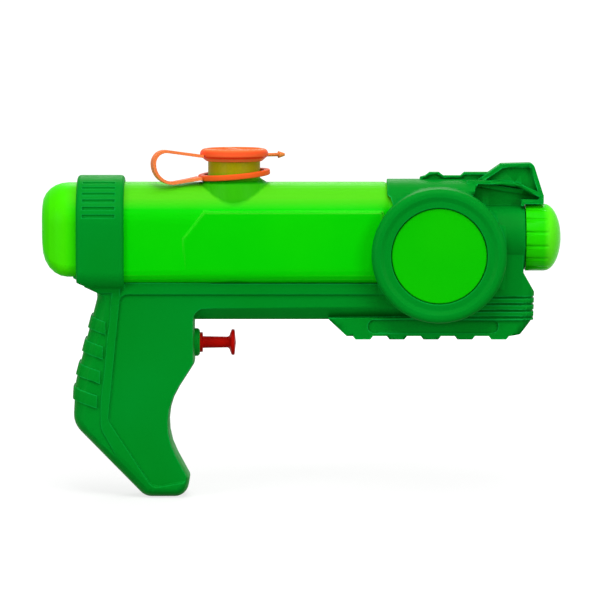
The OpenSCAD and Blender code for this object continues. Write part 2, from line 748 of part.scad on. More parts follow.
// The drum's outline from its axis: disc seat, dished ring with a narrow flat crest, rounded outer edge
function drum_side(s) = [[pocket_r, s * disc_seat, 0], [pocket_r, s * (drum_half - ring_dish), 0.5],
    [ring_in, s * (drum_half - ring_dish), 2], [crest_in, s * drum_half, 0.8],
    [drum_r, s * drum_half, ring_edge]];
module about_drum() translate([drum_x, 0, drum_z]) rotate([-90, 0, 0]) children();
module drum() about_drum() rotate_extrude() polygon(outline(concat([[0, -disc_seat, 0]], drum_side(-1),
    reversed(drum_side(1)), [[0, disc_seat, 0]])));

// Arch over the tank's front end: its rear edge steps forward low down and its front edge leans
module front_arch() difference() {
    union() {
        translate([0, 0, arch_z]) rotate([0, 90, 0]) rotate([0, 0, 90]) rotate_extrude(angle = 180)
            polygon(outline([[0, arch_rear, 0], [arch_r, arch_rear, 0.4], [arch_r, arch_front, 0.6],
                [0, arch_front, 0]]));
        translate([arch_rear, -arch_r, drum_z]) cube([arch_front - arch_rear, arch_r * 2, arch_z - drum_z]);
    }
    across(far) polygon([[arch_rear - past, arch_z], [arch_rear + 2.6, arch_z], [arch_rear + 3, arch_z + 9],
        [arch_rear + 1.6, arch_z + 13], [arch_rear - past, arch_z + 15.5]]);
    across(far) polygon([[arch_front - 3.2, drum_z - past], [arch_front + past, drum_z - past],
        [arch_front + past, arch_top], [arch_front, arch_top - 1.2], [arch_front - 3.2, arch_top - 8]]);
}

// Plan of chin and keel with a rounded front end
module plan(half, front, depth) linear_extrude(far, center = true)
    polygon(outline([[90, -half, 0], [front, -half, 6], [front, half, 6], [90, half, 0]], depth));

// Chin under the barrel with four grooves round its front
module chin() difference() {
    intersection() {
        across(far) polygon(outline([[chin_rear, rail_low, 0], [chin_front - 0.5, rail_low, 0],
            [chin_front, 50, 1], [chin_top_front, nozzle_z - barrel_r - 0.3, 1.5],
            [chin_top_front, chin_top, 0], [chin_rear, chin_top, 0]]));
        plan(chin_half, chin_front, 0);
    }
    for (k = [0 : 3]) translate([0, 0, chin_groove + k * chin_pitch]) difference() {
        translate([drum_x, -far / 2, -groove_w / 2]) cube([far, far, groove_w]);
        plan(chin_half, chin_front, groove_r);
    }
}

// Keel under the drum: toothed underside and a sunk bare slot on each side
module keel() difference() {
    intersection() {
        union() {
            across(far) polygon(outline([[keel_rear, keel_low, 1], [keel_toe, keel_low, 2],
                [keel_nose, keel_low + 0.9, 2],
                [chin_front - 0.4, rail_low + 1.5, 0.5], [chin_front - 0.4, rail_low + 4, 0],
                [chin_rear, rail_low + 4, 0],
                [chin_rear, keel_top, 0], [keel_rear - 9.2, keel_top, 0], [keel_rear - 8.6, rail_low, 0]]));
            for (k = [0 : 4]) translate([tooth_first + k * tooth_pitch, 0, 0]) across(far)
                polygon([[-tooth_len / 2, keel_low + past], [-tooth_len / 2, keel_low],
                    [-tooth_len * 0.37, keel_low - tooth_h],
                    [tooth_len * 0.37, keel_low - tooth_h], [tooth_len / 2, keel_low],
                    [tooth_len / 2, keel_low + past]]);
        }
        plan(keel_half, chin_front - 0.4, 0);
    }
    side_cut(keel_half - slot_deep) polygon(outline([[119.6, keel_low + 1.5, 3.2],
        [184.7, keel_low + 1.5, 3.2],
        [184.7, rail_low, 3.2], [119.6, rail_low, 3.2]]));
}

// Hood over the barrel: a rimmed plate with a pocket on each side and a hooked lip over the nozzle cap
hood_front = barrel_front + 9.2;
hook_x = barrel_front - 2;
hook_t = 1.7;
lip_z = barrel_top + 0.7;
lip_t = 2.3;
lip_rise = 4.7;
hook_low = barrel_top - 0.3;
function hood_at(t) = hood_rear + (hood_front - hood_rear) * t;
hood_corners = [[hood_rear, nozzle_z, 0], [hook_x + hook_t, nozzle_z, 0], [hook_x + hook_t, lip_z, 0.3],
    [hood_front, lip_z, 0.7], [hood_front, lip_z + lip_rise, 0.7], [hood_at(0.665), arch_top - 1.6, 12],
    [hood_at(0.34), arch_top - 0.5, 12], [hood_rear, arch_top - 0.5, 0]];
module hood() difference() {
    across(hood_half * 2) polygon(outline(hood_corners));
    side_cut(web_half) polygon([[hood_rear + past, nozzle_z], [hook_x, nozzle_z], [hook_x, lip_z + lip_t],
        [hood_front - lip_t, lip_z + lip_t], [hood_front - lip_t, lip_z + lip_rise - 1.2],
        [hood_at(0.65), arch_top - 3.5], [hood_at(0.34), arch_top - 2.3],
        [hood_rear + past, arch_top - 2.3]]);
    side_cut(sight_half) polygon([[hook_x - past, nozzle_z], [hook_x + hook_t + past, nozzle_z],
        [hook_x + hook_t + past, hook_low], [hook_x - past, hook_low]]);
}

// Front sight on the hood: a rimmed fin
sight_corners = [[arch_front - 4.3, arch_top - 3, 0], [hood_front - 2.6, lip_z + lip_rise - 1.2, 0],
    [hood_front, lip_z + lip_rise - 0.2, 0.3], [barrel_front + 4.2, arch_top + 8.1, 3],
    [arch_front + 11.4, arch_top + 7.7, 1]];
module sight() difference() {
    across(sight_half * 2) polygon(outline(sight_corners));
    side_cut(web_half) polygon(outline(sight_corners, web_rim + 0.4));
}

// Low ridge on top of the arch, behind the sight, with sunk sides under its rim
ridge_rear = arch_front - 29.4;
ridge_front = arch_front + 6;
ridge_up = 3.4;
ridge_dip = 1.7;
ridge_corners = [[ridge_rear, arch_top - 2, 0], [ridge_front, arch_top - 2, 0],
    [ridge_front, arch_top + ridge_up, 0],
    [ridge_rear + 22.4, arch_top + ridge_up, 0.5], [ridge_rear + 20.6, arch_top + ridge_dip, 0.5],
    [ridge_rear + 12, arch_top + ridge_dip, 0.5], [ridge_rear + 9.8, arch_top + ridge_up, 0.5],
    [ridge_rear + 5.2, arch_top + ridge_up, 0.5], [ridge_rear + 3, arch_top + ridge_dip, 0.5],
    [ridge_rear + 0.4, arch_top + 1, 0.3]];
module ridge() difference() {
    across(ridge_half * 2) polygon(outline(ridge_corners));
    side_cut(ridge_half / 2) polygon(outline(ridge_corners, ridge_rim));
}

// Everything the two shells look like from outside
module shell_outside() {
    rear_form();
    drum();
    front_arch();
    chin();
    keel();
    about_x(nozzle_z) polygon(outline([[0, drum_x + 10, 0], [barrel_r, drum_x + 10, 0],
        [barrel_r, barrel_front, 0.8], [0, barrel_front, 0]]));
    hood();
    sight();
    ridge();
}

// Rooms inside the shells, less the screw bosses and the pump's saddles
module rooms() difference() {
    union() {
        grip_form(wall, inner_half, grip_edge - wall);
        along(-4, drum_x) polygon([[-rail_low_half + wall / 2, rail_low + wall],
            [rail_low_half - wall / 2, rail_low + wall],
            [rail_room, rail_low + wall + rail_room - rail_low_half + wall / 2],
            [rail_room, rail_top - wall], [-rail_room, rail_top - wall],
            [-rail_room, rail_low + wall + rail_room - rail_low_half + wall / 2]]);
        about_drum() cylinder(h = (disc_seat - wall) * 2, r = drum_r - wall, center = true);
        across((keel_half - slot_deep - wall) * 2) polygon([[keel_rear - 4, keel_top - wall],
            [keel_rear + 1.4, keel_low + wall], [keel_toe - 0.5, keel_low + wall],
            [chin_front - 4, rail_low + 3], [chin_front - 4, keel_room - 9],
            [keel_nose - 0.9, keel_room], [keel_open, keel_room], [keel_open, keel_top - wall]]);
        rod_x(drum_x + 12, barrel_front + past, flange_r - seat_w, nozzle_z);
    }
    for (p = screw_at) translate([p[0], 0, p[1]]) rotate([90, 0, 0])
        cylinder(h = far, r = boss_r, center = true);
    for (x = saddle_at) translate([x, -inner_half - past, pump_z - pump_r - saddle_h])
        cube([saddle_t, (inner_half + past) * 2, (pump_r + saddle_h) * 2]);
}

// What is taken out of the shells for the parts they hold
module seats() {
    tank_body(-tank_gap);
    tank_panel(tank_gap);
    rod_x(pump_rear - pump_end - hold_gap, pump_front + hold_gap, pump_r + hold_gap, pump_z);
    rod_x(pump_front - past, gland_back + gland_flange + hold_gap, gland_r + gland_step + hold_gap, pump_z);
    rod_x(pump_front, gland_front + past, gland_r + hold_gap, pump_z);
    rod_z(inlet_x, rail_top - wall - past, tank_low + past, suction_r + hold_gap * 3);
    rod_x(seat_x - flange_back - hold_gap, flange_front + hold_gap, flange_r + hold_gap, nozzle_z);
    about_drum() for (a = peg_at) rotate([0, 0, a]) translate([disc_r * 0.7, 0, 0])
        cylinder(h = far, r = peg_r + hold_gap, center = true);
}

// One shell half: side 1 is the left one, which takes the screw heads
module shell(side) difference() {
    intersection() {
        shell_outside();
        translate([-far / 2, side > 0 ? 0 : -far, -far / 2]) cube([far * 2, far, far]);
    }
    rooms();
    seats();
    for (p = screw_at) translate([p[0], 0, p[1]]) rotate([-90, 0, 0]) if (side > 0) {
        translate([0, 0, -past]) cylinder(h = screw_seat + past * 2, r = screw_hole);
        translate([0, 0, screw_seat]) cylinder(h = far, r = screw_head_r + hold_gap * 2);
    } else {
        translate([0, 0, screw_seat - screw_len - past]) cylinder(h = screw_len, r = screw_r);
    }
}
module right_shell() color([0.02, 0.5, 0.12]) shell(-1);
module left_shell() color([0.02, 0.5, 0.12]) shell(1);

// Round inlay with three pegs, on the left side
module disc() about_drum() {
    translate([0, 0, disc_seat]) rotate_extrude()
        polygon(outline([[0, 0, 0], [disc_r, 0, 0.2], [disc_r, disc_t, 0.5], [0, disc_t, 0]]));
    for (a = peg_at) rotate([0, 0, a]) translate([disc_r * 0.7, 0, disc_seat - wall - peg_past])
        cylinder(h = wall + peg_past + disc_t / 2, r = peg_r);
}
module left_disc() color([0.1, 0.8, 0.05]) disc();
module right_disc() color([0.1, 0.8, 0.05]) mirror([0, 1, 0]) disc();

// Light-green nozzle cap: ribbed grip, domed front, hub that turns on the nozzle tube
module nozzle_cap() color([0.15, 0.85, 0.05]) difference() {
    about_x(nozzle_z) polygon(concat([[0, nose_rear], [nose_out_r, nose_rear]],
        [for (k = [dome_steps : -1 : 1]) let (a = 90 * k / dome_steps)
            [nose_out_r * sin(a), nose_front - nose_dome * (1 - cos(a))]], [[0, nose_front]]));
    about_x(nozzle_z) polygon([[hub_r, nose_rear - past], [nose_out_r - nose_wall, nose_rear - past],
        [nose_out_r - nose_wall, nose_rear + hub_deep - 4], [hub_r + 2, nose_rear + hub_deep],
        [hub_r, nose_rear + hub_deep]]);
    about_x(nozzle_z) polygon([[0, nose_rear - past], [tube_r + turn_fit, nose_rear - past],
        [tube_r + turn_fit, bead_x - bead_w / 2],
        [tube_r - bead_up, bead_x - bead_w / 2], [tube_r - bead_up, bead_x + bead_w / 2],
        [tube_r + turn_fit, bead_x + bead_w / 2],
        [tube_r + turn_fit, tube_front + turn_fit * 4], [tip_r + turn_fit * 4, tube_front + turn_fit * 4],
        [tip_r + turn_fit * 4, nose_front - nose_wall], [0, nose_front - nose_wall]]);
    rod_x(nose_front - nose_wall - past, nose_front + past, mouth_r, nozzle_z);
    for (k = [0 : nose_grooves - 1]) translate([0, 0, nozzle_z])
        rotate([k * 360 / nose_grooves + nose_phase, 0, 0])
            rod_x(nose_rear - past, nose_rear + nose_groove, nose_groove_r, nose_out_r + nose_groove_r * 0.3);
}

// Nozzle body: hose spigot, flange held by the shells, tube with the outlet valve inside
module nozzle_body() color([0.9, 0.9, 0.88]) difference() {
    about_x(nozzle_z) polygon([[0, spigot_x], [spigot_r, spigot_x], [spigot_r, seat_x - flange_back],
        [flange_r, seat_x - flange_back], [flange_r, flange_front], [tube_r, flange_front],
        [tube_r, seal_x - seal_w / 2],
        [tube_r - seal_deep, seal_x - seal_w / 2], [tube_r - seal_deep, seal_x + seal_w / 2],
        [tube_r, seal_x + seal_w / 2],
        [tube_r, bead_x - bead_w], [tube_r - bead_up * 2, bead_x - bead_w],
        [tube_r - bead_up * 2, bead_x + bead_w],
        [tube_r, bead_x + bead_w], [tube_r, tube_front], [0, tube_front]]);
    rod_x(spigot_x - past, seat_x, spigot_r * 0.55, nozzle_z);
    rod_x(seat_x - 0.6, seat_x + past, seat_r, nozzle_z);
    rod_x(seat_x, tube_front + past, chamber_r, nozzle_z);
}

// Tip pressed into the tube, with the jet hole
module nozzle_tip() color([0.95, 0.95, 0.93]) difference() {
    about_x(nozzle_z) polygon([[0, tip_rear], [chamber_r - press, tip_rear],
        [chamber_r - press, tube_front],
        [tip_r, tube_front], [tip_r, tube_front + tip_t], [0, tube_front + tip_t]]);
    about_x(nozzle_z) polygon([[0, tip_rear - past], [ball_r / 2, tip_rear - past],
        [ball_r / 2, tip_rear + 1.5],
        [jet_d / 2, tube_front], [jet_d / 2, tube_front + tip_t + past], [0, tube_front + tip_t + past]]);
}

// Rubber ring between tube and nozzle cap
module nozzle_seal() color([0.06, 0.06, 0.06])
    about_x(nozzle_z) translate([tube_r - seal_deep / 2, seal_x]) circle(r = seal_deep / 2 - press * 2);

module outlet_ball() color([0.75, 0.75, 0.78]) translate([outlet_x, 0, nozzle_z]) sphere(r = ball_r);
module inlet_ball() color([0.75, 0.75, 0.78]) translate([inlet_x, 0, inlet_z]) sphere(r = ball_r);

// A coil spring along X: one unbroken tube of six sides
module spring(from, to, z, mid_r, wire_r, turns) {
    count = turns * spring_rings;
    pitch = (to - from - wire_r * 2) / turns;
    echo(spring_gap = pitch * cos(atan(pitch / (2 * PI * mid_r))) - wire_r * 2);
    rings = [for (k = [0 : count])
        let (t = k * 360 / spring_rings, x = from + wire_r + pitch * k / spring_rings)
        [for (b = [0 : 60 : 300]) let (r = mid_r + wire_r * cos(b))
            [x - wire_r * sin(b), r * cos(t), z + r * sin(t)]]];
    hexagon = [for (b = [0 : 60 : 300]) [cos(b), sin(b)]];
    skin(rings, [hexagon, hexagon]);
}
module outlet_spring() color([0.7, 0.7, 0.72])
    spring(outlet_x + ball_r - 0.5, tip_rear - seal_gap, nozzle_z, ball_r * 0.8, 0.25, 6);
module return_spring() color([0.7, 0.7, 0.72])
    spring(pump_rear + seal_gap, piston_rear - seal_gap, pump_z, coil_d / 2, wire_d / 2, coil_turns);

// Pump cylinder with the inlet valve's tower and the outlet spigot on top
module pump_cylinder() color([0.9, 0.9, 0.88]) difference() {
    union() {
        rod_x(pump_rear - pump_end, pump_front, pump_r, pump_z);
        rod_z(inlet_x, pump_z, tower_top, tower_r);
        rod_z(outlet_port_x, pump_z, hose_z - hose_bend, spigot_r);
    }
    rod_x(pump_rear, pump_front + past, bore_half, pump_z);
    rod_z(inlet_x, pump_z, chamber_low + past, seat_r);
    translate([inlet_x - chamber_r, -0.6, pump_z]) cube([chamber_r * 2, 1.2, chamber_low - pump_z + 0.6]);
    rod_z(inlet_x, chamber_low, inlet_seat + past, chamber_r);
    rod_z(inlet_x, inlet_seat, tower_top + past, fitting_r);
    rod_z(outlet_port_x, pump_z, hose_z, spigot_r * 0.55);
}

// Valve seat and nipple pressed into the tower
module inlet_fitting() color([0.95, 0.95, 0.93]) difference() {
    union() {
        rod_z(inlet_x, inlet_seat, tower_top + past, fitting_r - press);
        rod_z(inlet_x, tower_top, fitting_top, tower_r);
        rod_z(inlet_x, fitting_top - past, nipple_low - 2, nipple_r);
    }
    rod_z(inlet_x, inlet_seat - past, tank_low, seat_r);
}

// Short hose between the fitting and the tank's nipple
module suction_hose() color([0.8, 0.85, 0.8]) difference() {
    rod_z(inlet_x, fitting_top + hold_gap, rail_top - hold_gap, suction_r);
    rod_z(inlet_x, fitting_top - past, tank_low, nipple_r);
}

// Hose from the pump through the rail and up to the nozzle body
rise_x = tank_front + 8;
module quarter(x, z, start) translate([x, 0, z]) rotate([90, 0, 0]) rotate([0, 0, start])
    rotate_extrude(angle = 90) translate([hose_bend, 0]) circle(r = $radius);
module hose_run(radius, more) {
    $radius = radius;
    rod_z(outlet_port_x, pump_z + pump_r + hold_gap - more, hose_z - hose_bend, radius);
    quarter(outlet_port_x + hose_bend, hose_z - hose_bend, 90);
    rod_x(outlet_port_x + hose_bend, rise_x - hose_bend, radius, hose_z);
    quarter(rise_x - hose_bend, hose_z + hose_bend, 270);
    rod_z(rise_x, hose_z + hose_bend, nozzle_z - hose_bend, radius);
    quarter(rise_x + hose_bend, nozzle_z - hose_bend, 90);
    rod_x(rise_x + hose_bend, seat_x - flange_back - hold_gap + more, radius, nozzle_z);
}
module delivery_hose() color([0.8, 0.85, 0.8]) difference() {
    hose_run(hose_d / 2, 0);
    hose_run(hose_bore / 2, past);
}

// Dark-green gland: flange behind the grip's front wall, rounded bush in front, spigot in the cylinder
module pump_gland() color([0.02, 0.42, 0.1]) difference() {
    about_x(pump_z) polygon(outline([[0, pump_front - spigot_len, 0],
        [bore_half - press, pump_front - spigot_len, 0],
        [bore_half - press, pump_front + press, 0], [gland_r + gland_step, pump_front + press, 0],
        [gland_r + gland_step, gland_back + gland_flange, 0], [gland_r, gland_back + gland_flange, 0],
        [gland_r, gland_front, 1.6], [0, gland_front, 0]]));
    rod_x(pump_front - spigot_len - past, gland_front + past, shaft_r + slide_fit, pump_z);
}

// Red plunger: piston, shaft, thin rod and round head
module trigger() color([0.75, 0.05, 0.04]) about_x(pump_z) polygon(outline([[0, piston_rear - guide_len, 0],
    [guide_r, piston_rear - guide_len, 0.6], [guide_r, piston_rear, 0], [piston_r, piston_rear, 0.2],
    [piston_r, seal_at - seal_w / 2, 0], [piston_r - seal_deep, seal_at - seal_w / 2, 0],
    [piston_r - seal_deep, seal_at + seal_w / 2, 0], [piston_r, seal_at + seal_w / 2, 0],
    [piston_r, piston_front, 0.2],
    [shaft_r, piston_front, 0], [shaft_r, gland_front + 1.4, 0.3], [rod_r, gland_front + 1.4, 0.4],
    [rod_r * 0.92, head_front - head_t - 1, 1.2], [head_r, head_front - head_t + 0.4, 0.3],
    [head_r, head_front - 0.7, 0.5],
    [0, head_front, 0]]));

// Rubber seal in the piston's groove
module piston_seal() color([0.06, 0.06, 0.06]) about_x(pump_z) polygon(outline([
    for (p = [[press - seal_deep, -1], [slide_fit - press, -1], [slide_fit - press, 1],
        [press - seal_deep, 1]])
        [piston_r + p[0], seal_at + p[1] * (seal_w / 2 - press), 0.4]]));

// Screws: head, cross slots and shank, from the left side
module shell_screws() color([0.6, 0.6, 0.62]) for (p = screw_at)
    translate([p[0], screw_seat, p[1]]) rotate([-90, 0, 0]) difference() {
        union() {
            translate([0, 0, -screw_len]) cylinder(h = screw_len + past, r = screw_r);
            rotate_extrude() polygon(outline([[0, 0, 0], [screw_head_r, 0, 0],
                [screw_head_r, screw_head_h, 0.7], [0, screw_head_h, 0]]));
        }
        for (a = [0, 90]) rotate([0, 0, a]) translate([-screw_head_r * 0.6, -0.35,
            screw_head_h - 1]) cube([screw_head_r * 1.2, 0.7, 2]);
    }

right_shell();
left_shell();
tank();
filler_cap();
cap_strap();
strap_ring();
right_disc();
left_disc();
nozzle_cap();
nozzle_body();
nozzle_tip();
nozzle_seal();
outlet_ball();
outlet_spring();
pump_cylinder();
pump_gland();
trigger();
piston_seal();
return_spring();
inlet_fitting();
inlet_ball();
suction_hose();
delivery_hose();
shell_screws();
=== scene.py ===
import json
import math

import bmesh
import bpy
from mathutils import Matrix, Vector

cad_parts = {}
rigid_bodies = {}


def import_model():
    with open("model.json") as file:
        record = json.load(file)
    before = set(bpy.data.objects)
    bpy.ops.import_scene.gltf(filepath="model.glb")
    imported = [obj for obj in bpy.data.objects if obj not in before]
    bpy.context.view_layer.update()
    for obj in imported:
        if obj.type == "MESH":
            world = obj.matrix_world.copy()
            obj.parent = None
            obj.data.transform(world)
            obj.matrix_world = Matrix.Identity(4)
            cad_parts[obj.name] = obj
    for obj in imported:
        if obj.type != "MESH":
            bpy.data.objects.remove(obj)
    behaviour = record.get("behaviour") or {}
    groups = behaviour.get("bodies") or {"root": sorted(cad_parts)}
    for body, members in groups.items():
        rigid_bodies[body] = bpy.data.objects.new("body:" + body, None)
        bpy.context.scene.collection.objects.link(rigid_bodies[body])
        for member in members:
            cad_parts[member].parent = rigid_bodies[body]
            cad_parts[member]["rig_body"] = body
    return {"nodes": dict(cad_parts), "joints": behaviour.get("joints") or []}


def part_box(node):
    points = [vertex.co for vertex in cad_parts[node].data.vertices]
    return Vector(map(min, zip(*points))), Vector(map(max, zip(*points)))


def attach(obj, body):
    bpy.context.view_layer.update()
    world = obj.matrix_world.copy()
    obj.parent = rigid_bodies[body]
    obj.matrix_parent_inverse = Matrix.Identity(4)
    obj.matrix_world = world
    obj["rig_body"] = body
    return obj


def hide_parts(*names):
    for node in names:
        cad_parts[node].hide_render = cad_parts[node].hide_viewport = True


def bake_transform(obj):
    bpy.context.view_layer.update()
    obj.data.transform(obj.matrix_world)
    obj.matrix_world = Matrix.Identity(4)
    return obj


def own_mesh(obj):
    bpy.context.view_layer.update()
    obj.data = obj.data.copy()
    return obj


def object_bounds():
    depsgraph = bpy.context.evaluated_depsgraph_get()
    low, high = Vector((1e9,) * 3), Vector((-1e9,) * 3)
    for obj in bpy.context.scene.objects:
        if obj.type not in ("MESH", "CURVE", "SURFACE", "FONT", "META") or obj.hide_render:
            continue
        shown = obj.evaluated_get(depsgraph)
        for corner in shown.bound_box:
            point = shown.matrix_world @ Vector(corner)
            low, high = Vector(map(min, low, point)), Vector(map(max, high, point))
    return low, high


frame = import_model()
solid_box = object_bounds()
solids = frame["nodes"]
scene = bpy.context.scene

# Camera: the squirter is seen from its right side and a little from above, through a long lens.
# The picture is 300 mm wide at the middle of the squirter.
view_centre = Vector((0.086, 0.0, 0.045))
view_lift = math.radians(5)
view_distance = 2.2
picture_width = 0.3
lens = bpy.data.cameras.new("lens")
lens.sensor_width = 36
lens.lens = lens.sensor_width * view_distance / picture_width
lens.clip_end = 60
eye = bpy.data.objects.new("eye", lens)
eye.location = view_centre + view_distance * Vector((0, -math.cos(view_lift), math.sin(view_lift)))
eye.rotation_euler = (math.pi / 2 - view_lift, 0, 0)
scene.collection.objects.link(eye)
scene.camera = eye
scene.view_settings.view_transform = "Standard"

# Studio: a pale floor under the grip's foot, soft lamps and an even room.
# Floor and room look white to the eye and in reflections, and the floor still takes the shadow.
white = (1.0, 1.0, 1.0, 1.0)
room_light = 0.34
floor_size = 60
floor_gap = 0.0002
floor_grey = (0.30, 0.30, 0.30, 1.0)
floor_glow = 0.74
shadow_reach = (0.2, 0.7)


def seen_ray(tree):
    """1 for rays from the eye, reflections and see-through surfaces, 0 for light that falls on the object."""
    path = tree.nodes.new("ShaderNodeLightPath")
    seen = path.outputs["Is Camera Ray"]
    for kind in ("Is Glossy Ray", "Is Transmission Ray"):
        either = tree.nodes.new("ShaderNodeMath")
        either.operation = "MAXIMUM"
        tree.links.new(seen, either.inputs[0])
        tree.links.new(path.outputs[kind], either.inputs[1])
        seen = either.outputs[0]
    return seen


def ranged(tree, value, band, to=(0.0, 1.0)):
    """A value brought from one range to another, and held at its ends."""
    step = tree.nodes.new("ShaderNodeMapRange")
    for socket, number in zip(("From Min", "From Max", "To Min", "To Max"), band + to):
        step.inputs[socket].default_value = number
    tree.links.new(value, step.inputs["Value"])
    return step.outputs["Result"]


room = bpy.data.worlds.new("room")
room.use_nodes = True
scene.world = room
tree = room.node_tree
tree.nodes.clear()
lit = tree.nodes.new("ShaderNodeBackground")
lit.inputs["Color"].default_value = white
lit.inputs["Strength"].default_value = room_light
plain = tree.nodes.new("ShaderNodeBackground")
plain.inputs["Color"].default_value = white
plain.inputs["Strength"].default_value = 1.0
choose = tree.nodes.new("ShaderNodeMixShader")
out = tree.nodes.new("ShaderNodeOutputWorld")
tree.links.new(seen_ray(tree), choose.inputs[0])
tree.links.new(lit.outputs[0], choose.inputs[1])
tree.links.new(plain.outputs[0], choose.inputs[2])
tree.links.new(choose.outputs[0], out.inputs["Surface"])

floor_paint = bpy.data.materials.new("white_floor")
floor_paint.use_nodes = True
tree = floor_paint.node_tree
tree.nodes.clear()
matt = tree.nodes.new("ShaderNodeBsdfDiffuse")
matt.inputs["Color"].default_value = floor_grey
glow = tree.nodes.new("ShaderNodeEmission")
glow.inputs["Color"].default_value = white
away = tree.nodes.new("ShaderNodeVectorMath")
away.operation = "LENGTH"
tree.links.new(tree.nodes.new("ShaderNodeTexCoord").outputs["Object"], away.inputs[0])
strength = tree.nodes.new("ShaderNodeMath")
strength.operation = "MULTIPLY"
tree.links.new(ranged(tree, away.outputs["Value"], shadow_reach, (floor_glow, 1.0)), strength.inputs[0])
tree.links.new(seen_ray(tree), strength.inputs[1])
tree.links.new(strength.outputs[0], glow.inputs["Strength"])
both = tree.nodes.new("ShaderNodeAddShader")
out = tree.nodes.new("ShaderNodeOutputMaterial")
tree.links.new(matt.outputs[0], both.inputs[0])
tree.links.new(glow.outputs[0], both.inputs[1])
tree.links.new(both.outputs[0], out.inputs["Surface"])

bm = bmesh.new()
bmesh.ops.create_grid(bm, x_segments=1, y_segments=1, size=floor_size / 2)
bmesh.ops.translate(bm, verts=bm.verts, vec=(0, 0, solid_box[0].z - floor_gap))
floor_mesh = bpy.data.meshes.new("floor")
bm.to_mesh(floor_mesh)
bm.free()
floor_mesh.materials.append(floor_paint)
floor = bpy.data.objects.new("floor", floor_mesh)
scene.collection.objects.link(floor)

for name, place, size, watts in (
    ("left_lamp", (-0.95, -1.05, 0.40), 0.6, 7.0),
    ("right_lamp", (1.10, -1.05, 0.40), 0.6, 6.0),
    ("high_lamp", (0.15, -0.95, 1.15), 0.5, 6.0),
    ("top_lamp", (0.09, -0.28, 1.25), 0.8, 5.0),
    ("back_lamp", (0.09, 1.10, 0.90), 0.6, 6.0),
):
    lamp = bpy.data.lights.new(name, "AREA")
    lamp.energy = watts
    lamp.size = size
    stand = bpy.data.objects.new(name, lamp)
    stand.location = place
    stand.rotation_euler = (view_centre - Vector(place)).to_track_quat("-Z", "Y").to_euler()
    scene.collection.objects.link(stand)

# Shells: two dark-green injection mouldings that make collar, grip, rail, drum, keel, barrel and sight.
# The left one is laid on the bench and takes the pieces inside, and the right one closes it.
# Edges are broken by the mould and get a painted highlight, hollows get a painted shade,
# and the parting line is a fine groove.
shell_green = (0.0, 0.262, 0.015, 1.0)
shell_pale = (0.0, 0.280, 0.020, 1.0)
# Painted highlight colour for the edges, painted shade colour for the hollows.
shell_highlight_green = (0.005, 0.47, 0.075, 1.0)
shell_shade_green = (0.0, 0.13, 0.008, 1.0)


def noise(tree, place, scale, detail, stretch=(1, 1, 1)):
    """A noise texture on the piece's own coordinates, in metres."""
    spread = tree.nodes.new("ShaderNodeMapping")
    spread.inputs["Scale"].default_value = stretch
    tree.links.new(place, spread.inputs["Vector"])
    texture = tree.nodes.new("ShaderNodeTexNoise")
    texture.inputs["Scale"].default_value = scale
    texture.inputs["Detail"].default_value = detail
    tree.links.new(spread.outputs[0], texture.inputs["Vector"])
    return texture.outputs["Fac"]


def openness(tree, reach, samples, inside=False):
    """How open the space is round a point, or how thick the plastic is behind it, within a reach."""
    space = tree.nodes.new("ShaderNodeAmbientOcclusion")
    space.samples = samples
    space.inside = inside
    space.only_local = True
    space.inputs["Distance"].default_value = reach
    return space.outputs["AO"]


def washed(paint, colour, amount):
    """A colour laid over the plastic's own, by an amount that runs over the piece: painted light and shade.
    """
    tree = paint.node_tree
    skin = tree.nodes["Principled BSDF"].inputs["Base Color"]
    over = tree.nodes.new("ShaderNodeMix")
    over.data_type = "RGBA"
    tree.links.new(skin.links[0].from_socket, over.inputs["A"])
    over.inputs["B"].default_value = colour
    tree.links.new(amount, over.inputs["Factor"])
    tree.links.new(over.outputs["Result"], skin)


